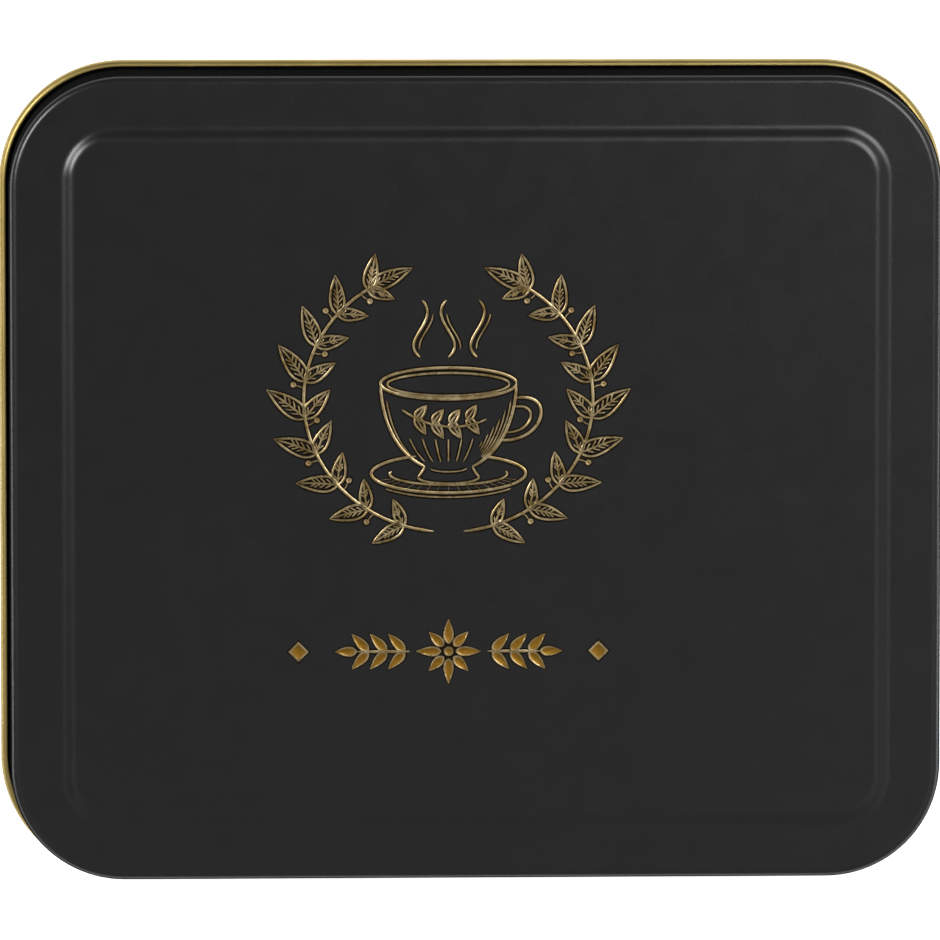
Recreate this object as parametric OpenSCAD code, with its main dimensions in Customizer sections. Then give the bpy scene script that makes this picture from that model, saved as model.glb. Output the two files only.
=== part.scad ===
// Tinplate box for tea bags: six compartments under a lift-off lid with a raised panel.
// Millimetres, +Z up. The origin is the centre of the face that the box stands on, and
// +Y points to the back.
//
// Every piece is pressed, rolled or folded from one thickness of sheet. The upright walls are
// drawn as a section and swept round a rounded rectangle, so that each bend is a true curve.

/* [Sheet] */
// Thickness of the lacquered tinplate
sheet_t = 0.3; // [0.2:0.05:0.4]
// Clearance all round between the lid and the box
lid_gap = 0.3; // [0.2:0.05:0.5]

/* [Overall] */
// Height from the face that the box stands on to the border of the closed lid
box_h = 69; // [50:1:110]

/* [Lid] */
// Width of the lid from side to side, outside its skirt
lid_w = 200; // [160:1:260]
// Depth of the lid from front to back, outside its skirt
lid_d = 173; // [130:1:220]
// Radius of the lid's four upright corners
lid_corner_r = 24.5; // [18:0.5:36]
// Outer radius of the bend between the lid's border and its skirt
lid_edge_r = 2; // [1.6:0.1:3]
// Depth from the lid's border to the underside of its rolled hem
lid_depth = 28; // [14:0.5:40]
// Diameter of the rolled hem that stands out round the foot of the lid
hem_d = 2.5; // [1.8:0.1:3]
// Slit left between the end of a roll and the wall that it is rolled from
roll_slit = 0.15; // [0.1:0.05:0.3]

/* [Raised panel] */
// Distance from the lid's skirt to the foot of the step
panel_inset = 10.8; // [8:0.1:20]
// Corner radius at the foot of the step
panel_corner_r = 11.4; // [8:0.1:20]
// Width of the step
panel_step_w = 3.1; // [2.6:0.1:4]
// Height of the panel above the border
panel_rise = 1; // [0.4:0.1:1.2]
// Radius of the two bends of the step, to the middle of the sheet
panel_bend_r = 2.6; // [0.8:0.1:3]

/* [Embossed diamonds] */
// Width of a diamond across its points
diamond_w = 4.4; // [2:0.1:8]
// Distance between the centres of the two diamonds
diamond_pitch = 64.4; // [20:0.2:100]
// Distance of the middle of the pair to the left of the middle of the lid
diamond_left = 6; // [0:0.5:12]
// Distance of the diamonds in front of the middle of the lid
diamond_y = 37.2; // [0:0.2:50]
// Height of a diamond above the panel
diamond_rise = 0.15; // [0.1:0.05:0.4]

/* [Box] */
// Diameter of the rim, rolled inward, that the lid slips over
rim_d = 2.5; // [1.8:0.1:3]
// Height of the double seam that joins the base to the wall
seam_h = 3; // [2.2:0.1:4]
// Gap between two layers of sheet in the double seam
seam_gap = 0.05; // [0.03:0.01:0.1]
// How far the round underside of the seam is pressed flat
stand_flat = 0.06; // [0.03:0.01:0.1]
// Width of the folded seam up the inside of the back wall
side_seam_w = 4.5; // [3:0.5:8]
// Depth and half width of the line that the seam leaves on the outside
side_seam_line = 0.12; // [0.06:0.02:0.15]

/* [Base] */
// Height of the floor of the compartments
floor_h = 3.3; // [2.6:0.1:5]
// Inner radius of the bend at the edge of the floor
floor_bend_r = 0.6; // [0.4:0.1:1]
// Distance from the inside of the wall to the step in the floor
floor_step_inset = 7; // [5:0.5:12]
// Width of the step in the floor
floor_step_w = 1.8; // [1.4:0.1:3]
// How far the middle of the floor lies below its edge
floor_step_drop = 0.3; // [0.2:0.05:0.6]
// Radius of the two bends of that step, to the middle of the sheet
floor_step_r = 1.2; // [0.4:0.1:1.5]

/* [Dividers] */
// Distance from the lid's border down to the top of the dividers
divider_drop = 13; // [8:0.5:40]
// Depth of the hem folded down along the top of a divider
divider_hem = 4; // [2:0.5:8]
// Gap inside the folded hem
fold_gap = 0.1; // [0.05:0.05:0.3]
// Width of the tab that lies against the wall at each end of a divider
tab_w = 10; // [6:0.5:16]
// Inner radius of the bend between a divider and its tab
tab_bend_r = 0.6; // [0.4:0.1:1.5]
// Clearance between a tab and the wall
tab_gap = 0.05; // [0.02:0.01:0.1]
// Clearance on each side of a divider in the slot of another
slot_gap = 0.1; // [0.05:0.05:0.3]

/* [Hidden] */
$fn = 96;

coat = "#29292b";
lacquer = "#b3923f";

// Cutting tools reach this far past what they cut.
past = 1;

// Lid
edge_z = box_h - lid_edge_r;
hem_r = hem_d / 2;
hem_z = box_h - lid_depth + hem_r;
panel_w = lid_w - 2 * panel_inset;
panel_d = lid_d - 2 * panel_inset;
panel_z = box_h + panel_rise;

// Box wall, one clearance inside the lid's skirt
wall_inset = sheet_t + lid_gap;
wall_w = lid_w - 2 * wall_inset;
wall_d = lid_d - 2 * wall_inset;
wall_r = lid_corner_r - wall_inset;
inner_w = wall_w - 2 * sheet_t;
inner_d = wall_d - 2 * sheet_t;

// The rolled rim seats in the bend of the lid: where the bend is roomy their centres are level,
// and where it is tight the roll sits lower.
rim_r = rim_d / 2;
rim_z = edge_z + min(0, lid_edge_r - sheet_t - lid_gap - rim_r);

// Double seam. The lower folds of wall and base share one centre, and so do the upper ones.
layer = sheet_t + seam_gap;
low_fold_x = wall_r + seam_gap + sheet_t / 2;
low_fold_z = 2 * layer + sheet_t / 2 - stand_flat;
top_fold_x = low_fold_x + layer;
top_fold_z = seam_h - layer - sheet_t / 2;

// Dividers
divider_h = box_h - divider_drop - floor_h;
half_h = divider_h / 2;
fold_r = (sheet_t + fold_gap) / 2;
compartment_w = inner_w / 3;

// Rounded rectangle with true arcs, centred on the origin
module rounded_rect(w, d, r) {
    square([w - 2 * r, d], center = true);
    square([w, d - 2 * r], center = true);
    for (sx = [-1, 1], sy = [-1, 1])
        translate([sx * (w / 2 - r), sy * (d / 2 - r)]) circle(r);
}

// Sweeps a section round a rounded rectangle of the given size. The section's x counts outward
// from the axis of a corner, so x = r lies on the rectangle, and its y is height.
module sweep_round(w, d, r) {
    for (side = [0 : 3]) {
        across = side % 2 == 0 ? w : d;
        along = side % 2 == 0 ? d : w;
        rotate(90 * side) {
            translate([across / 2 - r, along / 2 - r, 0]) rotate([90, 0, 0])
                linear_extrude(along - 2 * r) children();
            translate([across / 2 - r, along / 2 - r, 0]) rotate_extrude(angle = 90) children();
        }
    }
}

// Section of a sheet rolled into a full circle, whose middle runs at radius r
module ring(r) {
    difference() {
        circle(r + sheet_t / 2);
        if (r > sheet_t / 2) circle(r - sheet_t / 2);
    }
}

// Section of a sheet bent round the origin, from angle a to b at the same radius
module bend(r, a, b) {
    reach = 2 * (r + sheet_t);
    facets = ceil((b - a) / 40);
    intersection() {
        ring(r);
        polygon(concat([[0, 0]],
            [for (i = [0 : facets]) let (t = a + (b - a) * i / facets) reach * [cos(t), sin(t)]]));
    }
}

// Section of a sheet that runs straight up from z0 to z1, with its inner face at x
module upright(x, z0, z1) {
    translate([x, z0]) square([sheet_t, z1 - z0]);
}

// Section of a rolled edge of outer radius r about the origin. The sheet comes up to its right
// side, turns left over the top and ends just short of itself.
module roll(r) {
    closing = acos((r - sheet_t - roll_slit) / r);
    bend(r - sheet_t / 2, 0, 360 - closing);
}

// Section of an S-shaped step. The middle of the sheet starts level at the origin, runs to -x
// and ends level, rise higher: a bend, a straight ramp and a bend the other way. The bends have
// radius bend_r, or as much of it as the step has room for. At each end the ramp laps the bend
// on that bend's inner side.
module step_section(run, rise, bend_r) {
    r = min(bend_r, (run * run + rise * rise) / (4 * rise));
    foot = [0, r];
    head = [-run, rise - r];
    across = norm(head - foot);
    turn = asin(2 * r / across) - atan((2 * r - rise) / run);
    to_middle = [-sin(turn), -cos(turn)];
    lap = sheet_t / 4 * [-cos(turn), sin(turn)];
    inner = r - sheet_t / 2;
    outer = r + sheet_t / 2;
    translate(foot) bend(r, 270 - turn, 270);
    translate(head) bend(r, 90 - turn, 90);
    polygon([foot + outer * to_middle, head - inner * to_middle + lap,
        head - outer * to_middle, foot + inner * to_middle - lap]);
}

// Flat sheet whose top lies at z
module flat_sheet(z) {
    translate([0, 0, z - sheet_t]) linear_extrude(sheet_t) children();
}

module lid_skirt_section() {
    translate([lid_corner_r - lid_edge_r, edge_z]) bend(lid_edge_r - sheet_t / 2, 0, 90);
    upright(lid_corner_r - sheet_t, hem_z, edge_z);
}

// The hem turns down and out from the foot of the skirt, and laps it by one thickness of sheet
module lid_hem_section() {
    translate([lid_corner_r - sheet_t + hem_r, hem_z]) rotate(180) roll(hem_r);
    upright(lid_corner_r - sheet_t, hem_z, hem_z + sheet_t);
}

module lid() {
    color(coat) {
        sweep_round(lid_w, lid_d, lid_corner_r) lid_skirt_section();
        flat_sheet(box_h) difference() {
            rounded_rect(lid_w - 2 * lid_edge_r, lid_d - 2 * lid_edge_r,
                lid_corner_r - lid_edge_r);
            rounded_rect(panel_w, panel_d, panel_corner_r);
        }
        sweep_round(panel_w, panel_d, panel_corner_r)
            translate([panel_corner_r, box_h - sheet_t / 2])
                step_section(panel_step_w, panel_rise, panel_bend_r);
        flat_sheet(panel_z)
            rounded_rect(panel_w - 2 * panel_step_w, panel_d - 2 * panel_step_w,
                panel_corner_r - panel_step_w);
    }
    color(lacquer) {
        sweep_round(lid_w, lid_d, lid_corner_r) lid_hem_section();
        for (side = [-1, 1])
            translate([side * diamond_pitch / 2 - diamond_left, -diamond_y, panel_z]) diamond();
    }
}

module diamond() {
    translate([0, 0, -sheet_t / 2]) linear_extrude(diamond_rise + sheet_t / 2)
        rotate(45) square(diamond_w / sqrt(2), center = true);
}

module body_wall_section() {
    upright(wall_r - sheet_t, low_fold_z, rim_z);
    translate([wall_r - rim_r, rim_z]) roll(rim_r);
    translate([low_fold_x, low_fold_z]) bend(layer, 180, 360);
    upright(wall_r + sheet_t + 2 * seam_gap, low_fold_z, top_fold_z);
}

// Three layers of sheet, folded into each other down the middle of the back wall
module side_seam(z0, z1) {
    seam_t = 2 * sheet_t;
    flat_w = side_seam_w - 2 * seam_t;
    translate([0, wall_d / 2 - sheet_t, z0]) linear_extrude(z1 - z0) {
        translate([-flat_w / 2, -seam_t]) square([flat_w, seam_t + sheet_t / 2]);
        for (side = [-1, 1])
            intersection() {
                translate([side * flat_w / 2, 0]) circle(seam_t);
                translate([-side_seam_w / 2, -seam_t]) square([side_seam_w, seam_t]);
            }
    }
}

module body_wall() {
    color(coat) difference() {
        union() {
            sweep_round(wall_w, wall_d, wall_r) body_wall_section();
            side_seam(floor_h, rim_z - rim_d);
        }
        translate([0, wall_d / 2, seam_h])
            cylinder(r = side_seam_line, h = rim_z - rim_r - seam_h);
    }
}

module base_panel_section() {
    chuck_x = wall_r - layer - sheet_t;
    bend_r = floor_bend_r + sheet_t / 2;
    bend_z = floor_h - sheet_t - floor_bend_r;
    step_x = wall_r - sheet_t - floor_step_inset;
    // outer wall of the seam, with its hook folded down behind the wall's
    translate([top_fold_x, top_fold_z]) bend(layer, 0, 180);
    upright(wall_r + seam_gap, low_fold_z, top_fold_z);
    upright(wall_r + 2 * layer + seam_gap, low_fold_z, top_fold_z);
    intersection() {
        translate([low_fold_x, low_fold_z]) bend(2 * layer, 180, 360);
        square([2 * wall_r, seam_h]);
    }
    // inner wall, bent over into the edge of the floor
    upright(chuck_x, low_fold_z, bend_z);
    translate([chuck_x - floor_bend_r, bend_z]) bend(bend_r, 0, 90);
    translate([step_x, floor_h - sheet_t]) square([chuck_x - floor_bend_r - step_x, sheet_t]);
    translate([step_x, floor_h - sheet_t / 2])
        mirror([0, 1]) step_section(floor_step_w, floor_step_drop, floor_step_r);
}

module base_panel() {
    middle_inset = sheet_t + floor_step_inset + floor_step_w;
    color(lacquer) {
        sweep_round(wall_w, wall_d, wall_r) base_panel_section();
        flat_sheet(floor_h - floor_step_drop)
            rounded_rect(wall_w - 2 * middle_inset, wall_d - 2 * middle_inset,
                wall_r - middle_inset);
    }
}

// A divider along X that stands on z = 0: a strip with a tab bent to +Y at each end and a
// hem folded to -Y along its top
module divider(length) {
    bend_r = tab_bend_r + sheet_t / 2;
    bend_x = length / 2 - tab_gap - sheet_t / 2 - bend_r;
    fold_z = divider_h - fold_r - sheet_t / 2;
    linear_extrude(fold_z) {
        square([2 * bend_x, sheet_t], center = true);
        for (end = [0, 1]) mirror([end, 0]) translate([bend_x, bend_r]) {
            bend(bend_r, 270, 360);
            upright(bend_r - sheet_t / 2, 0, tab_w - bend_r);
        }
    }
    translate([-bend_x, -fold_r, fold_z]) rotate([90, 0, 90]) linear_extrude(2 * bend_x) {
        bend(fold_r, 0, 180);
        upright(-fold_r - sheet_t / 2, -divider_hem, 0);
    }
}

module long_divider() {
    slot_w = 2 * (2 * fold_r + sheet_t / 2 + slot_gap);
    color(lacquer) translate([0, 0, floor_h]) difference() {
        divider(inner_w);
        for (side = [-1, 1])
            translate([side * compartment_w / 2 - slot_w / 2, -tab_w / 2, half_h])
                cube([slot_w, tab_w, half_h + past]);
    }
}

module cross_divider() {
    slot_w = sheet_t + 2 * slot_gap;
    color(lacquer) translate([0, 0, floor_h]) rotate(90) difference() {
        divider(inner_d);
        translate([-slot_w / 2, -tab_w / 2, -past]) cube([slot_w, tab_w, half_h + past]);
    }
}

module cross_divider_left() {
    translate([-compartment_w / 2, 0, 0]) cross_divider();
}

module cross_divider_right() {
    mirror([1, 0, 0]) cross_divider_left();
}

lid();
body_wall();
base_panel();
long_divider();
cross_divider_left();
cross_divider_right();
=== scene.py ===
"""Looks of the tea bag box: a black coated tin with a gold bead, foil ornament on the lid and a
gold lacquered inside, on a plain white floor. Lengths are in millimetres until they are handed to
Blender, which works in metres. Only the sizes and distances of the lights are in metres."""
import math

import bpy
from mathutils import Matrix, Vector

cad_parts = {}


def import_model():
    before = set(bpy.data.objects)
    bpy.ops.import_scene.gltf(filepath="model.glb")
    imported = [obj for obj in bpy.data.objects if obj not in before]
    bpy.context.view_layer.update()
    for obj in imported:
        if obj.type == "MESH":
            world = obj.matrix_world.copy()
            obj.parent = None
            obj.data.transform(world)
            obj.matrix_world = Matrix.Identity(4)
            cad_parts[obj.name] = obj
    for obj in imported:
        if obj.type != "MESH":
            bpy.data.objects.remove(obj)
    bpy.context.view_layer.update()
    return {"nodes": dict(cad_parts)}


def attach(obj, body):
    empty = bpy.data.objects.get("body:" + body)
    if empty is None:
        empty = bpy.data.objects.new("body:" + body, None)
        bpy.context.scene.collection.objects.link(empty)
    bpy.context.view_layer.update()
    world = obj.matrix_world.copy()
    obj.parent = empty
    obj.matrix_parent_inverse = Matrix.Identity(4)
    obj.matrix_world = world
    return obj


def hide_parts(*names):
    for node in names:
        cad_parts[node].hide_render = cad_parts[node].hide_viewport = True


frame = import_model()

MM = 0.001

# ---- sizes ------------------------------------------------------------------------------------
# They are the sizes of the solids, apart from the panel's step and the slit of the hem, which are
# wider here, and the hem's cut edge, which is rounded here.
SHEET = 0.3
LID_GAP = 0.3
BORDER_Z = 69.0
LID_W, LID_D = 200.0, 173.0
LID_CORNER_R = 24.5
LID_EDGE_R = 2.0
LID_DEPTH = 28.0
ROLL_R = 1.25
ROLL_SLIT = 0.15
HEM_SLIT = 0.7
CUT_EDGE_R = 0.13
# A hair less than the solid roll, whose facets reach a hair less far than its true arc
HEM_R = ROLL_R - 0.005
PANEL_INSET = 10.7
PANEL_CORNER_R = 11.4
STEP_W = 3.9
STEP_RISE = 1.0
STEP_BEND_R = 4.0
SEAM_H = 3.0
SEAM_GAP = 0.05
STAND_FLAT = 0.06
FLOOR_H = 3.3
SIDE_SEAM_W = 4.5
SIDE_SEAM_LINE = 0.12

WALL_INSET = SHEET + LID_GAP
EDGE_Z = BORDER_Z - LID_EDGE_R
HEM_Z = BORDER_Z - LID_DEPTH + ROLL_R
RIM_Z = EDGE_Z + min(0, LID_EDGE_R - SHEET - LID_GAP - ROLL_R)
PANEL_Z = BORDER_Z + STEP_RISE
LAYER = SHEET + SEAM_GAP
FOLD_X = SEAM_GAP + SHEET / 2
FOLD_Z = 2 * LAYER + SHEET / 2 - STAND_FLAT
FOLD_TOP_Z = SEAM_H - LAYER - SHEET / 2

# A short flat run beside each bend keeps the flat faces shaded flat.
HOLD = 0.15
# Width of the ring of faces between the panel's step and its one flat face
PANEL_RING_W = 2.0
CORNER_STEPS = 24
# The lid's edge is matte down to this angle of its bend, and from there it takes the copy of the coat
# without reflection, which paints shade.
MATTE_BEND = 55
# The line of the side seam across the outside: place in half widths, and share of its depth
SEAM_LINE_PROFILE = ((4, 0), (2, 0), (1, 0.6), (0, 1), (-1, 0.6), (-2, 0), (-4, 0))

# ---- meshes ------------------------------------------------------------------------------------


class Mesh:
    """Collects points in millimetres and faces with a material number."""

    def __init__(self):
        self.points, self.faces, self.kinds = [], [], []

    def add(self, points):
        first = len(self.points)
        self.points.extend(points)
        return list(range(first, len(self.points)))

    def face(self, ids, kind=0):
        self.faces.append(ids)
        self.kinds.append(kind)

    def strip(self, ring_a, ring_b, kind=0):
        """Quads between two rings of equal length"""
        for i in range(len(ring_a)):
            j = (i + 1) % len(ring_a)
            self.face((ring_a[i], ring_a[j], ring_b[j], ring_b[i]), kind)

    def build(self, name, materials, sharp=50):
        mesh = bpy.data.meshes.new(name)
        mesh.from_pydata([(x * MM, y * MM, z * MM) for x, y, z in self.points], [], self.faces)
        mesh.polygons.foreach_set("material_index", self.kinds)
        mesh.polygons.foreach_set("use_smooth", [True] * len(self.faces))
        mesh.validate()
        mesh.update()
        mesh.set_sharp_from_angle(angle=math.radians(sharp))
        for material in materials:
            mesh.materials.append(material)
        piece = bpy.data.objects.new(name, mesh)
        bpy.context.scene.collection.objects.link(piece)
        return piece


def arc(cx, cz, radius, start, end, steps):
    """Points of an arc in a section, angles in degrees"""
    angles = [math.radians(start + (end - start) * k / steps) for k in range(steps + 1)]
    return [(cx + radius * math.cos(a), cz + radius * math.sin(a)) for a in angles]


def round_loop(width, depth, radius, z, groove=0.0):
    """Points round a rounded rectangle, seen from above anticlockwise from the right side.
    The back side has a groove of that depth in its middle."""
    points = []
    for k, (sx, sy) in enumerate(((1, 1), (-1, 1), (-1, -1), (1, -1))):
        cx, cy = sx * (width / 2 - radius), sy * (depth / 2 - radius)
        for x, y in arc(cx, cy, radius, 90 * k, 90 * k + 90, CORNER_STEPS):
            points.append((x, y, z))
        if k == 0:
            for x, depth_share in SEAM_LINE_PROFILE:
                points.append((x * SIDE_SEAM_LINE / 2, depth / 2 - groove * depth_share, z))
    return points


def sweep(mesh, section, width, depth, radius, grooved=None):
    """Sweeps a section of (outset, z, kind) round a rounded rectangle, and returns its rings.
    kind is the material of the strip that ends at that point."""
    rings = []
    for outset, z, kind in section:
        groove = SIDE_SEAM_LINE if grooved and grooved(outset, z) else 0.0
        loop = round_loop(width + 2 * outset, depth + 2 * outset, radius + outset, z, groove)
        ring = mesh.add(loop)
        if rings:
            mesh.strip(rings[-1], ring, kind)
        rings.append(ring)
    return rings


def with_kind(points, kind):
    """Adds the number of a material to the points of a section"""
    return [(x, z, kind) for x, z in points]


def roll_end(radius, slit):
    """Angle through which a roll turns before its edge is a slit away from its own wall"""
    return 360 - math.degrees(math.acos((radius - SHEET - slit) / radius))


# Material numbers: the coat, the lacquer, and the copy of the coat that paints shade on upright faces
COAT, LACQUER, PAINTED_SHADE_COAT = 0, 1, 2


def step_points(side):
    """The S-shaped step from the border up to the panel, on the upper (1) or lower (-1) surface
    of the sheet: a bend at the foot, a straight ramp and a bend at the head"""
    middle = BORDER_Z - SHEET / 2
    across = math.hypot(STEP_W, 2 * STEP_BEND_R - STEP_RISE)
    turn = math.degrees(math.asin(2 * STEP_BEND_R / across)
                        - math.atan((2 * STEP_BEND_R - STEP_RISE) / STEP_W))
    foot = arc(0, middle + STEP_BEND_R, STEP_BEND_R - side * SHEET / 2, 270, 270 - turn, 10)
    head_z = middle + STEP_RISE - STEP_BEND_R
    head = arc(-STEP_W, head_z, STEP_BEND_R + side * SHEET / 2, 90 - turn, 90, 10)
    return foot + head


def plate_rings(mesh, side, kind):
    """Panel, step and border on the upper (1) or lower (-1) surface, from the middle outward.
    Returns the outermost ring."""
    drop = 0 if side > 0 else SHEET
    inner = [(-STEP_W - PANEL_RING_W, PANEL_Z - drop), (-STEP_W - HOLD, PANEL_Z - drop)]
    section = inner + step_points(side)[::-1] + [(HOLD, BORDER_Z - drop)]
    rings = sweep(mesh, with_kind(section, kind),
                  LID_W - 2 * PANEL_INSET, LID_D - 2 * PANEL_INSET, PANEL_CORNER_R)
    mesh.face(rings[0] if side > 0 else rings[0][::-1], kind)
    return rings[-1]


def cut_edge(roll_x, radius, end):
    """Points of the sheet's cut edge at the end of the hem's roll, rounded toward the outside of
    the roll, and the angle at which it meets that outside"""
    round_r = radius - CUT_EDGE_R
    left = end - math.degrees(CUT_EDGE_R / round_r)
    edge_x = roll_x + round_r * math.cos(math.radians(left))
    edge_z = HEM_Z + round_r * math.sin(math.radians(left))
    return arc(edge_x, edge_z, CUT_EDGE_R, left + 90, left, 6), left


def lid_side_section():
    """Section of the lid from its border outward: down the coated side, round the roll, and back
    up the lacquered side"""
    border_x = -LID_EDGE_R - HOLD
    roll_x = ROLL_R - SHEET
    end = 180 + roll_end(HEM_R, HEM_SLIT)
    top = [(border_x, BORDER_Z)] + arc(-LID_EDGE_R, EDGE_Z, LID_EDGE_R, 90, 90 - MATTE_BEND, 12)
    # The skirt takes the copy of the coat that paints shade.
    skirt = arc(-LID_EDGE_R, EDGE_Z, LID_EDGE_R, 90 - MATTE_BEND, 0, 8)[1:]
    skirt += [(0, EDGE_Z - HOLD), (0, HEM_Z + HOLD)]
    skirt += arc(roll_x, HEM_Z, HEM_R - SHEET, 180, end, 40)
    inside, left = cut_edge(roll_x, HEM_R, end)
    inside += arc(roll_x, HEM_Z, HEM_R, left, 180, 40)[1:]
    inside += [(-SHEET, HEM_Z + HOLD), (-SHEET, EDGE_Z - HOLD)]
    inside += arc(-LID_EDGE_R, EDGE_Z, LID_EDGE_R - SHEET, 0, 90, 12)
    inside += [(border_x, BORDER_Z - SHEET)]
    return with_kind(top, COAT) + with_kind(skirt, PAINTED_SHADE_COAT) + with_kind(inside, LACQUER)


def lid_shell(coat, lacquer, painted_shade_coat):
    """The lid as one pressed sheet: its outside is coated, and its inside, which the roll
    turns outward round the foot, is lacquered."""
    mesh = Mesh()
    rings = sweep(mesh, lid_side_section(), LID_W, LID_D, LID_CORNER_R)
    mesh.strip(plate_rings(mesh, 1, COAT), rings[0], COAT)
    mesh.strip(rings[-1], plate_rings(mesh, -1, LACQUER), LACQUER)
    return mesh.build("lid_shell", (coat, lacquer, painted_shade_coat))


def wall_shell(painted_shade_coat, lacquer):
    """The wall as one bent sheet: the rim is rolled inward, so that the coated side shows on
    the roll, and the foot is folded up into the seam of the base."""
    mesh = Mesh()
    end = roll_end(ROLL_R, ROLL_SLIT)
    outside = arc(FOLD_X, FOLD_Z, LAYER - SHEET / 2, 360, 180, 16)
    outside = [(FOLD_X + LAYER - SHEET / 2, FOLD_TOP_Z)] + outside
    outside += [(0, SEAM_H + HOLD), (0, RIM_Z - ROLL_R)]
    outside += arc(-ROLL_R, RIM_Z, ROLL_R, 0, end, 40)
    inside = arc(-ROLL_R, RIM_Z, ROLL_R - SHEET, end, 0, 32)
    inside += [(-SHEET, RIM_Z - ROLL_R), (-SHEET, SEAM_H + HOLD)]
    inside += arc(FOLD_X, FOLD_Z, LAYER + SHEET / 2, 180, 360, 16)
    inside += [(FOLD_X + LAYER + SHEET / 2, FOLD_TOP_Z), outside[0]]

    def grooved(outset, z):
        return outset == 0 and SEAM_H < z < RIM_Z

    # The outside takes the copy of the coat that paints shade.
    sweep(mesh, with_kind(outside, COAT) + with_kind(inside, LACQUER),
          LID_W - 2 * WALL_INSET, LID_D - 2 * WALL_INSET, LID_CORNER_R - WALL_INSET, grooved)
    return mesh.build("wall_shell", (painted_shade_coat, lacquer))


def side_seam(lacquer):
    """The folded seam up the inside of the back wall"""
    mesh = Mesh()
    back = LID_D / 2 - WALL_INSET - SHEET
    fold = 2 * SHEET
    flat = SIDE_SEAM_W / 2 - fold
    outline = [(-flat - fold, back + HOLD)] + arc(-flat, back, fold, 180, 270, 8)
    outline += arc(flat, back, fold, 270, 360, 8) + [(flat + fold, back + HOLD)]
    low = mesh.add([(x, y, FLOOR_H) for x, y in outline])
    high = mesh.add([(x, y, RIM_Z - 2 * ROLL_R) for x, y in outline])
    mesh.strip(low, high)
    mesh.face(low[::-1])
    mesh.face(high)
    return mesh.build("wall_seam", (lacquer,))


# ---- the foil ornament -------------------------------------------------------------------------
FOIL_LINE, FOIL_SHADE, FOIL_FILL = 0, 1, 2
ART_X = -6.0
LINE_W = 0.44
THICK, THIN = LINE_W * 1.3, LINE_W * 0.7
LINE_H = 0.09
# Width of the dark band of painted shade beside each gold line
SHADE_BAND_W = 0.34
# Heights over the panel: where the foil starts, its dark band of painted shade, and the foot of its gold
ROOT_H, SHADE_BAND_H, FOOT_H = -0.03, 0.004, 0.02
# How much of its width and height a line keeps at its ends
END_SHARE = 0.35
# A filled shape from its edge inward: inset, height over the panel, and material. Its three outer steps
# carry the painted shade round the shape.
SHAPE_STEPS = ((-0.3, ROOT_H, FOIL_SHADE), (-0.3, SHADE_BAND_H, FOIL_SHADE), (0.0, FOOT_H, FOIL_SHADE),
               (0.1, 0.1, FOIL_LINE), (0.28, 0.1, FOIL_LINE), (0.42, 0.05, FOIL_LINE))


def bezier(a, b, c, d, steps):
    """Points of a cubic curve between a and d"""
    points = []
    for k in range(steps + 1):
        t = k / steps
        s = 1 - t
        points.append(tuple(s ** 3 * a[i] + 3 * s * s * t * b[i] + 3 * s * t * t * c[i] + t ** 3 * d[i]
                            for i in (0, 1)))
    return points


def ellipse(cx, cy, rx, ry, start=0, end=360, steps=48):
    """Points of an ellipse or of a part of it, angles in degrees"""
    angles = [math.radians(start + (end - start) * k / steps) for k in range(steps + 1)]
    return [(cx + rx * math.cos(a), cy + ry * math.sin(a)) for a in angles]


def placed(points, at, angle, mirror=1):
    """Turns points about the origin, mirrors them left to right if mirror is -1, and moves them"""
    c, s = math.cos(math.radians(angle)), math.sin(math.radians(angle))
    return [(at[0] + mirror * (x * c - y * s), at[1] + x * s + y * c) for x, y in points]


class Foil(Mesh):
    """Foil strokes and filled shapes that lie on the panel"""

    def line(self, points, width=LINE_W):
        """A stroke: a low gold ridge with a dark band of painted shade on both sides"""
        half = width / 2
        rise = ((half + SHADE_BAND_W, ROOT_H), (half + SHADE_BAND_W, SHADE_BAND_H), (half, FOOT_H), (half / 2, LINE_H))
        profile = [(-offset, height) for offset, height in rise] + list(rise[::-1])
        kinds = (FOIL_SHADE,) * 2 + (FOIL_LINE,) * 3 + (FOIL_SHADE,) * 3
        rings = []
        last = len(points) - 1
        for i, (x, y) in enumerate(points):
            ax, ay = points[max(i - 1, 0)]
            bx, by = points[min(i + 1, last)]
            length = math.hypot(bx - ax, by - ay) or 1
            nx, ny = -(by - ay) / length, (bx - ax) / length
            thin = END_SHARE if i in (0, last) else 1.0
            rings.append(self.add([(x + nx * offset * thin, y + ny * offset * thin,
                                    PANEL_Z + height * (thin if height > 0 else 1))
                                   for offset, height in profile]))
        for a, b in zip(rings, rings[1:]):
            for k, kind in enumerate(kinds):
                n = (k + 1) % len(profile)
                self.face((a[k], b[k], b[n], a[n]), kind)
        self.face(rings[0], FOIL_SHADE)
        self.face(rings[-1][::-1], FOIL_SHADE)

    def shape(self, outline, at, angle=0, mirror=1):
        """A filled shape. outline(inset) gives its points; its rim stands up round the fill."""
        rings = []
        for inset, height, kind in SHAPE_STEPS:
            points = placed(outline(inset), at, angle, mirror)[::mirror]
            ring = self.add([(x, y, PANEL_Z + height) for x, y in points])
            if rings:
                self.strip(rings[-1], ring, kind)
            rings.append(ring)
        self.face(rings[-1], FOIL_FILL)
        self.face(rings[0][::-1], FOIL_SHADE)


def leaf_outline(length, width, inset=0.0, bend=0.0):
    """Pointed leaf along +X from its stalk end, whose tip bends to +Y"""
    long, wide = length - 2.2 * inset, width - 2 * inset
    start = 1.2 * inset
    stalk, tip = (start, 0), (start + long, bend)
    low_x, mid_x = start + long * 0.12, start + long * 0.42
    near = bezier(stalk, (low_x, -wide * 0.55), (mid_x, -wide * 0.62 + bend * 0.2), tip, 10)
    far = bezier(tip, (mid_x, wide * 0.62 + bend * 0.2), (low_x, wide * 0.55), stalk, 10)
    return near + far[1:-1]


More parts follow.
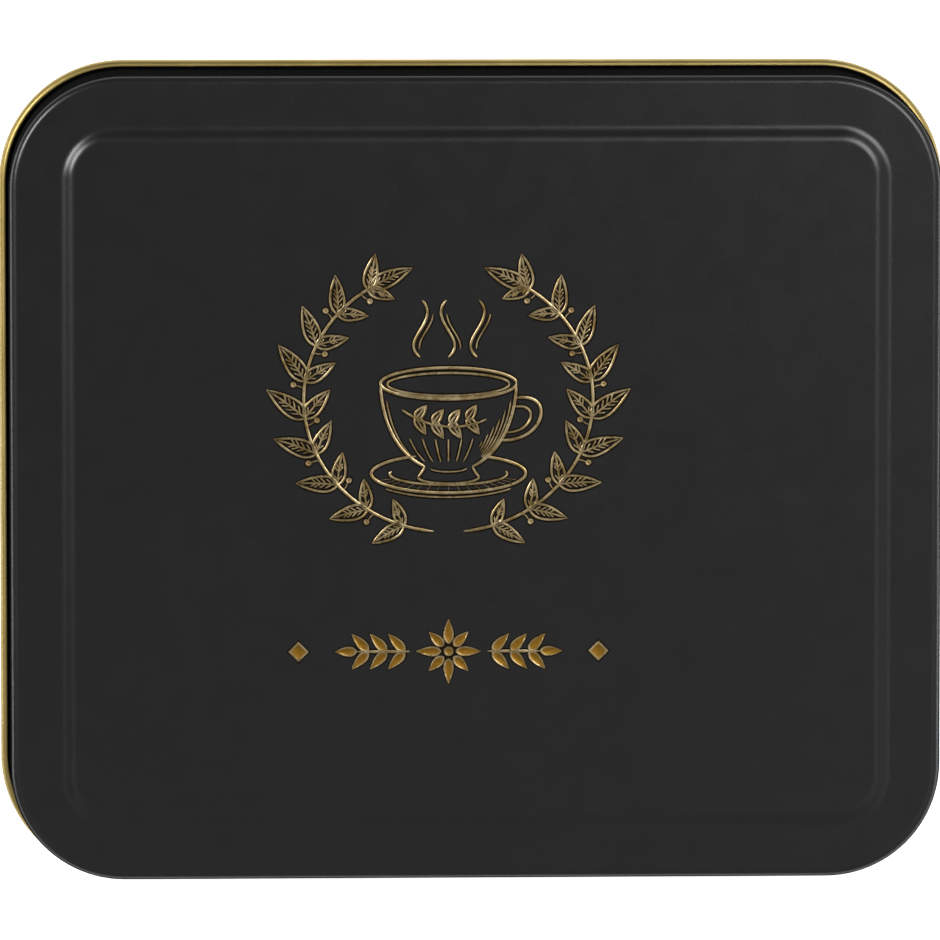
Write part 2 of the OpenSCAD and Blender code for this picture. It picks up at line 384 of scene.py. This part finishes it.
def diamond_outline(width):
    """Outline of a square on its corner, for any inset"""
    def outline(inset):
        reach = width / 2 - inset * math.sqrt(2)
        return [(reach, 0), (0, reach), (-reach, 0), (0, -reach)]
    return outline


def disc_outline(radius):
    """Outline of a disc, for any inset"""
    return lambda inset: ellipse(0, 0, radius - inset, radius - inset, steps=20)[:-1]


def drawn_leaf(foil, at, angle, length, width, bend=0.0, veins=4, mirror=1):
    """A leaf in outline, with a midrib and side veins"""
    def put(points, thickness=LINE_W):
        foil.line(placed(points, at, angle, mirror), thickness)
    outline = leaf_outline(length, width, bend=bend)
    put(outline + outline[:1])
    rib = bezier((0, 0), (length * 0.4, 0), (length * 0.7, bend * 0.4), (length * 0.9, bend * 0.86), 8)
    put(rib, LINE_W * 0.9)
    for k in range(veins):
        share = 0.18 + 0.5 * k / veins
        x, y = rib[round(share * 8)]
        reach = width * 0.27 * math.sin(math.pi * (share * 0.9 + 0.2))
        for side in (-1, 1):
            tip = (x + reach * 1.3, y + side * reach)
            put(bezier((x, y), (x + reach * 0.4, y + side * reach * 0.5), tip, tip, 4), THIN)


def berry(foil, at, angle, mirror=1):
    """A berry on a short stalk"""
    foil.line(placed([(0, 0), (1.0, 0.15), (2.0, 0)], at, angle, mirror), LINE_W * 0.8)
    foil.shape(disc_outline(0.62), placed([(2.5, 0)], at, angle, mirror)[0])


def branch(foil, mirror):
    """One side of the wreath: a bowed stem with leaves and berries on both sides"""
    centre, reach_x, reach_y = (ART_X, 17.0), 31.0, 28.5
    leaves, first, last = 9, -72, 56
    spread = (last - first) / (leaves - 1)

    def on_stem(degrees):
        t = math.radians(degrees)
        at = (centre[0] + mirror * reach_x * math.cos(t), centre[1] + reach_y * math.sin(t))
        return at, math.degrees(math.atan2(reach_y * math.cos(t), -reach_x * math.sin(t)))

    stem = ellipse(0, 0, reach_x, reach_y, -84, 58, 40)
    foil.line([(centre[0] + mirror * x, centre[1] + y) for x, y in stem], THICK)
    for k in range(leaves):
        at, heading = on_stem(first + spread * k)
        size = 1.0 - 0.25 * abs(k - 4) / 4
        drawn_leaf(foil, at, heading - 40, 10.2 * size, 4.3 * size, -0.8, 4, mirror)
        drawn_leaf(foil, at, heading + 44, 8.0 * size, 3.6 * size, 0.8, 3, mirror)
        if k < leaves - 1:
            at, heading = on_stem(first + spread * (k + 0.8))
            berry(foil, at, heading + (75 if k % 2 else -75), mirror)
    at, heading = on_stem(58)
    drawn_leaf(foil, at, heading, 9.5, 3.8, 0.8, 4, mirror)


# The cup is drawn round a middle of its own, at this place and share of its full size.
CUP_Y, CUP_SIZE = 14.8, 0.94


def on_cup(x, y):
    """Place on the panel of a point of the cup"""
    return ART_X + CUP_SIZE * x, CUP_Y + CUP_SIZE * y


def draw(foil, points, width=LINE_W):
    """A stroke of the cup"""
    foil.line([on_cup(x, y) for x, y in points], width)


def bowl_side(side, share):
    """Line down the bowl, that share of the way out from its middle"""
    return bezier((side * 15.5 * share, 5.6 - 3.4 * (1 - share)), (side * 15 * share, -4),
                  (side * 11 * share, -10.5), (side * 5.4 * share, -13), 24)


def bowl(foil):
    """Rim, sides and foot of the bowl, hatched on its right and fluted low down"""
    draw(foil, ellipse(0, 6, 15.5, 3.6), THICK)
    draw(foil, ellipse(0, 5.8, 13.9, 2.6))
    draw(foil, ellipse(0, 4.6, 12.2, 1.9, 200, 340, 24))
    for side in (-1, 1):
        draw(foil, bowl_side(side, 1), THICK)
        draw(foil, bezier((side * 5.4, -13), (side * 5.8, -14), (side * 6.4, -14.8), (side * 7, -15.4), 8))
    draw(foil, bowl_side(-1, 0.93)[3:19], THIN)
    for k in range(6):
        draw(foil, bowl_side(1, 0.94 - 0.06 * k)[3 + 2 * k:21 - k], THIN)
    for side, share in ((-1, 0.72), (-1, 0.48), (-1, 0.24), (1, 0.0), (1, 0.24), (1, 0.45)):
        draw(foil, bowl_side(side, share)[12:22], THIN)
    draw(foil, ellipse(0, -15.4, 7, 1.5, 180, 360, 20))
    draw(foil, ellipse(0, -13.3, 4.2, 0.9, 190, 350, 12), THIN)


def saucer(foil):
    """Saucer with short strokes along its front"""
    draw(foil, ellipse(0, -14.6, 17.6, 4.4, 115, 425, 72), THICK)
    draw(foil, ellipse(0, -14.7, 13.4, 2.5, 165, 375, 48))
    draw(foil, ellipse(0, -15.4, 17.4, 4.6, 215, 325, 40), LINE_W * 0.8)
    near = ellipse(0, -14.7, 14.2, 2.9, 202, 338, 16)
    far = ellipse(0, -14.6, 16.6, 3.9, 202, 338, 16)
    for stroke in zip(near, far):
        draw(foil, stroke, THIN)


def handle(foil):
    """Handle, as an outer and an inner line"""
    draw(foil, bezier((15.2, 2.6), (24.5, 4.4), (22.5, -7.6), (11.8, -7), 24), THICK)
    draw(foil, bezier((15, 0.6), (20.8, 1.8), (19.8, -5.6), (12.8, -5.2), 20))


def steam(foil):
    """Three double wisps over the cup"""
    for lean, x in ((1, -6.5), (-1, 0), (1, 6.5)):
        wisp = bezier((x, 12), (x - 5 * lean, 16), (x + 5 * lean, 20), (x + 0.5 * lean, 25), 24)
        draw(foil, wisp, LINE_W * 1.1)
        draw(foil, [(px + 1.3, py - 0.2) for px, py in wisp[4:20]], THIN)


def sprig(foil):
    """A leafy sprig across the bowl"""
    draw(foil, bezier((-10.6, 0.0), (-5, -4.4), (3, -5.0), (8.6, -2.2), 20))
    for k in range(4):
        share = (k + 0.7) / 4.6
        at = on_cup(-10.2 + 18 * share, -0.6 - 10 * share * (1 - share))
        lean = 12 * (share - 0.5)
        drawn_leaf(foil, at, lean + 50, 3.5, 1.9, 0.2, 0)
        drawn_leaf(foil, at, lean - 52, 4.0, 2.0, -0.2, 0)


ROW_Y = -37.2
DIAMOND_W = 4.4
DIAMOND_AT = 32.2
PETAL_W = 2.5


def petal(foil, length, at, angle, side=1):
    foil.shape(lambda inset: leaf_outline(length, PETAL_W, inset), at, angle, side)


def rosette(foil):
    """Eight petals, long and short by turns, round a disc"""
    for k in range(8):
        turn = math.radians(45 * k)
        at = (ART_X + 1.5 * math.cos(turn), ROW_Y + 1.5 * math.sin(turn))
        petal(foil, 5.6 if k % 2 == 0 else 4.6, at, 45 * k)
    foil.shape(disc_outline(1.05), (ART_X, ROW_Y))


def ornament_row(foil):
    """The row in front: a rosette with a leafy sprig on each side, between two diamonds"""
    stem = (8.4, 12, 16, 19.6)
    for side in (-1, 1):
        foil.shape(diamond_outline(DIAMOND_W), (ART_X + side * DIAMOND_AT, ROW_Y))
        foil.line([(ART_X + side * x, ROW_Y) for x in stem], LINE_W * 1.4)
        for k in range(3):
            at = (ART_X + side * (9.4 + 3.9 * k), ROW_Y)
            for turn in (-1, 1):
                petal(foil, 5.4, at, 47 * turn, side)
        petal(foil, 5.0, (ART_X + side * stem[-1], ROW_Y), 0, side)
    rosette(foil)


def foil_pieces(materials):
    """The wreath with the cup, and the row in front of it"""
    picture = Foil()
    for mirror in (-1, 1):
        branch(picture, mirror)
    for draw_part in (bowl, saucer, handle, steam, sprig):
        draw_part(picture)
    row = Foil()
    ornament_row(row)
    return [picture.build("foil_picture", materials, 30), row.build("foil_ornament", materials, 30)]


# ---- materials ---------------------------------------------------------------------------------
# Most of a noise lies between these two values.
NOISE_LOW, NOISE_HIGH = 0.3, 0.7
# How bright the floor is to the camera and in reflections
FLOOR_GLOW = 0.82


class Nodes:
    """Short calls for a material's node tree"""

    def __init__(self, name):
        self.material = bpy.data.materials.new(name)
        self.material.use_nodes = True
        self.tree = self.material.node_tree
        self.shader = self.tree.nodes["Principled BSDF"]

    def new(self, kind, **values):
        node = self.tree.nodes.new(kind)
        for key, value in values.items():
            setattr(node, key, value)
        return node

    def join(self, source, target):
        self.tree.links.new(source, target)

    def set(self, **values):
        for key, value in values.items():
            self.shader.inputs[key.replace("_", " ")].default_value = value

    def position(self):
        return self.new("ShaderNodeTexCoord").outputs["Object"]

    def noise(self, size_mm, detail=2.0, roughness=0.5, stretch=(1, 1, 1)):
        """Noise of that size on the object's own coordinates"""
        mapping = self.new("ShaderNodeMapping")
        mapping.inputs["Scale"].default_value = stretch
        self.join(self.position(), mapping.inputs["Vector"])
        noise = self.new("ShaderNodeTexNoise")
        noise.inputs["Scale"].default_value = 1 / (size_mm * MM)
        noise.inputs["Detail"].default_value = detail
        noise.inputs["Roughness"].default_value = roughness
        self.join(mapping.outputs["Vector"], noise.inputs["Vector"])
        return noise.outputs["Fac"]

    def between(self, value, low, high):
        """A noise spread out between two values"""
        spread = self.new("ShaderNodeMapRange")
        for key, number in (("From Min", NOISE_LOW), ("From Max", NOISE_HIGH),
                            ("To Min", low), ("To Max", high)):
            spread.inputs[key].default_value = number
        self.join(value, spread.inputs["Value"])
        return spread.outputs["Result"]

    def mixed(self, value, low, high):
        """A colour between two, by a value from 0 to 1"""
        mix = self.new("ShaderNodeMix", data_type="RGBA")
        mix.inputs["A"].default_value = (*low, 1)
        mix.inputs["B"].default_value = (*high, 1)
        self.join(value, mix.inputs["Factor"])
        return mix.outputs["Result"]

    def bump(self, heights):
        """Bump from pairs of height and depth in millimetres"""
        normal = None
        for height, depth_mm in heights:
            bump = self.new("ShaderNodeBump")
            bump.inputs["Distance"].default_value = depth_mm * MM
            self.join(height, bump.inputs["Height"])
            if normal:
                self.join(normal, bump.inputs["Normal"])
            normal = bump.outputs["Normal"]
        self.join(normal, self.shader.inputs["Normal"])


def coat_finish(name, specular, dark, pale, smooth, rough):
    """Black stoved coat with a faint orange peel, between two colours and two roughnesses"""
    n = Nodes(name)
    n.set(Specular_IOR_Level=specular)
    n.join(n.mixed(n.between(n.noise(30, 3), 0, 1), dark, pale), n.shader.inputs["Base Color"])
    n.join(n.between(n.noise(6, 4), smooth, rough), n.shader.inputs["Roughness"])
    n.bump([(n.noise(1.4, 1), 0.0012), (n.noise(0.25, 2), 0.0010)])
    return n.material


def black_coat():
    """The matte coat of the lid's top"""
    return coat_finish("black_coat", 0.5, (0.0052, 0.0052, 0.0058), (0.0060, 0.0060, 0.0066),
                       0.26, 0.29)


def black_coat_painted_shade():
    """Painted shade: the same coat on the upright walls with its reflection taken away, so that they
    render as dark as shade
    """
    return coat_finish("black_coat_painted_shade", 0.0, (0.0080, 0.0080, 0.0085), (0.0092, 0.0092, 0.0098),
                       0.66, 0.74)


def gold_lacquer():
    """Satin gold lacquer over rolled tinplate, with faint lines along the roll"""
    n = Nodes("gold_lacquer")
    n.set(Metallic=1.0)
    n.join(n.mixed(n.between(n.noise(18, 3), 0, 1), (0.32, 0.238, 0.076), (0.40, 0.308, 0.118)),
           n.shader.inputs["Base Color"])
    n.join(n.between(n.noise(4, 3), 0.36, 0.42), n.shader.inputs["Roughness"])
    n.bump([(n.noise(0.5, 2, stretch=(0.05, 1, 1)), 0.001), (n.noise(2.5, 1), 0.003)])
    return n.material


def foil_line():
    """Gold on the ridges of the foil, which runs from olive to pale along a line"""
    n = Nodes("foil_line")
    n.set(Metallic=1.0)
    n.join(n.mixed(n.between(n.noise(3.5, 4, 0.6), 0, 1), (0.21, 0.136, 0.040), (0.60, 0.48, 0.28)),
           n.shader.inputs["Base Color"])
    n.join(n.between(n.noise(0.6, 2), 0.25, 0.42), n.shader.inputs["Roughness"])
    n.bump([(n.noise(0.35, 2), 0.012)])
    return n.material


def foil_fill():
    """Mottled bronze gold inside the filled shapes"""
    n = Nodes("foil_fill")
    n.set(Metallic=1.0)
    n.join(n.mixed(n.between(n.noise(0.5, 4, 0.7), 0, 1), (0.21, 0.098, 0.010), (0.35, 0.185, 0.026)),
           n.shader.inputs["Base Color"])
    n.join(n.between(n.noise(0.4, 2), 0.35, 0.55), n.shader.inputs["Roughness"])
    n.bump([(n.noise(0.3, 3), 0.01)])
    return n.material


def foil_painted_shade():
    """Painted shade: a dark margin beside the foil, where shade falls beside the raised gold"""
    n = Nodes("foil_painted_shade")
    n.set(Specular_IOR_Level=0.02)
    n.join(n.mixed(n.between(n.noise(0.8, 2), 0, 1), (0.0030, 0.0022, 0.0016),
                   (0.011, 0.0060, 0.0022)), n.shader.inputs["Base Color"])
    n.join(n.between(n.noise(0.5, 2), 0.55, 0.7), n.shader.inputs["Roughness"])
    n.bump([(n.noise(0.3, 2), 0.004)])
    return n.material


def white_floor():
    """White to the camera and in reflections, a plain pale surface for the light it bounces"""
    n = Nodes("white_floor")
    n.set(Base_Color=(0.8, 0.8, 0.8, 1), Roughness=0.9, Specular_IOR_Level=0.1)
    paths = n.new("ShaderNodeLightPath")
    seen = paths.outputs["Is Camera Ray"]
    for other in ("Is Glossy Ray", "Is Transmission Ray"):
        either = n.new("ShaderNodeMath", operation="MAXIMUM")
        n.join(seen, either.inputs[0])
        n.join(paths.outputs[other], either.inputs[1])
        seen = either.outputs[0]
    strength = n.new("ShaderNodeMath", operation="MULTIPLY")
    strength.inputs[1].default_value = FLOOR_GLOW
    n.join(seen, strength.inputs[0])
    n.shader.inputs["Emission Color"].default_value = (1, 1, 1, 1)
    n.join(strength.outputs[0], n.shader.inputs["Emission Strength"])
    return n.material


# ---- stage, light and camera ---------------------------------------------------------------------
WALL_LIGHT, CEILING_LIGHT = 1.0, 0.16
# Degrees over the horizon where the walls end and where the ceiling starts
WALL_TOP, CEILING_START = 4, 12
LID_CENTRE = Vector((0, 0, BORDER_Z * MM))


def floor():
    """Plain floor under the box"""
    mesh = Mesh()
    reach = 3000
    mesh.face(mesh.add([(-reach, -reach, 0), (reach, -reach, 0), (reach, reach, 0), (-reach, reach, 0)]))
    piece = mesh.build("floor", (white_floor(),))


def world():
    """A studio with white walls and a dim ceiling"""
    made = bpy.data.worlds.new("studio")
    bpy.context.scene.world = made
    made.use_nodes = True
    tree = made.node_tree
    back = tree.nodes["Background"]
    back.inputs["Color"].default_value = (1, 1, 1, 1)
    place = tree.nodes.new("ShaderNodeTexCoord")
    parts = tree.nodes.new("ShaderNodeSeparateXYZ")
    fade = tree.nodes.new("ShaderNodeMapRange")
    fade.interpolation_type = "SMOOTHSTEP"
    for key, number in (("From Min", math.sin(math.radians(WALL_TOP))),
                        ("From Max", math.sin(math.radians(CEILING_START))),
                        ("To Min", WALL_LIGHT), ("To Max", CEILING_LIGHT)):
        fade.inputs[key].default_value = number
    tree.links.new(place.outputs["Generated"], parts.inputs["Vector"])
    tree.links.new(parts.outputs["Z"], fade.inputs["Value"])
    tree.links.new(fade.outputs["Result"], back.inputs["Strength"])


def softbox(name, azimuth, from_zenith, distance, width, height, radiance):
    """Area light aimed at the lid, in degrees and metres. azimuth is counted from +X to +Y,
    height is the upright side, and radiance is how bright its face is, where white is 1."""
    data = bpy.data.lights.new(name, "AREA")
    data.shape = "RECTANGLE"
    data.size, data.size_y = width, height
    data.energy = radiance * math.pi * width * height
    light = bpy.data.objects.new(name, data)
    a, e = math.radians(azimuth), math.radians(from_zenith)
    out = Vector((math.cos(a) * math.sin(e), math.sin(a) * math.sin(e), math.cos(e)))
    light.location = LID_CENTRE + out * distance
    light.rotation_euler = out.to_track_quat("Z", "Y").to_euler()
    light.visible_camera = False
    bpy.context.scene.collection.objects.link(light)


def lights():
    """Two small bright boxes at the back, dim panels all round, and a low strip on each side.
    The numbers are azimuth, angle from the zenith, distance, width, height and radiance."""
    softbox("back_left", 151, 44, 1.27, 0.5, 0.3, 18)
    softbox("back_right", 38, 30, 1.29, 0.5, 0.5, 7.4)
    softbox("back_right_glow", 42, 52, 1.38, 0.9, 0.7, 0.5)
    softbox("left_panel", 185, 30, 1.4, 1.4, 0.5, 0.12)
    softbox("right_panel", -2, 46, 1.4, 1.4, 1.7, 0.26)
    softbox("front_panel", -90, 38, 1.4, 2.6, 1.75, 0.25)
    softbox("right_far", -18, 64, 1.4, 1.7, 0.6, 0.17)
    softbox("left_far", 205, 64, 1.4, 1.3, 0.6, 0.2)
    softbox("left_low", 178, 89, 1.4, 1.0, 0.06, 13)
    softbox("right_low", 2, 89, 1.4, 1.0, 0.06, 13)


def camera():
    """Nearly straight above, a little behind the middle and to the left"""
    data = bpy.data.cameras.new("camera")
    view = bpy.data.objects.new("camera", data)
    bpy.context.scene.collection.objects.link(view)
    height, left, behind = 2000.0, -85.0, 172.0
    target = Vector((-1.35, 1.74, BORDER_Z)) * MM
    focal_px = 9372.0
    image_px = 940.0
    data.lens = data.sensor_width * focal_px / image_px
    view.location = Vector((left, behind, BORDER_Z + height)) * MM
    back = (view.location - target).normalized()
    right = Vector((0, 1, 0)).cross(back).normalized()
    view.rotation_mode = "QUATERNION"
    view.rotation_quaternion = Matrix((right, back.cross(right), back)).transposed().to_quaternion()
    bpy.context.scene.camera = view


# ---- the scene -----------------------------------------------------------------------------------
coat, painted_shade_coat, lacquer = black_coat(), black_coat_painted_shade(), gold_lacquer()

lid = lid_shell(coat, lacquer, painted_shade_coat)
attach(lid, "lid")
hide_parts("lid")

wall = wall_shell(painted_shade_coat, lacquer)
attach(wall, "box")
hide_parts("body_wall")

seam = side_seam(lacquer)
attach(seam, "box")

for piece in foil_pieces((foil_line(), foil_painted_shade(), foil_fill())):
    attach(piece, "lid")

for name in ("base_panel", "long_divider", "cross_divider_left", "cross_divider_right"):
    node = frame["nodes"][name]
    node.data.materials.clear()
    node.data.materials.append(lacquer)

floor()
world()
lights()
camera()
bpy.context.scene.view_settings.view_transform = "Standard"
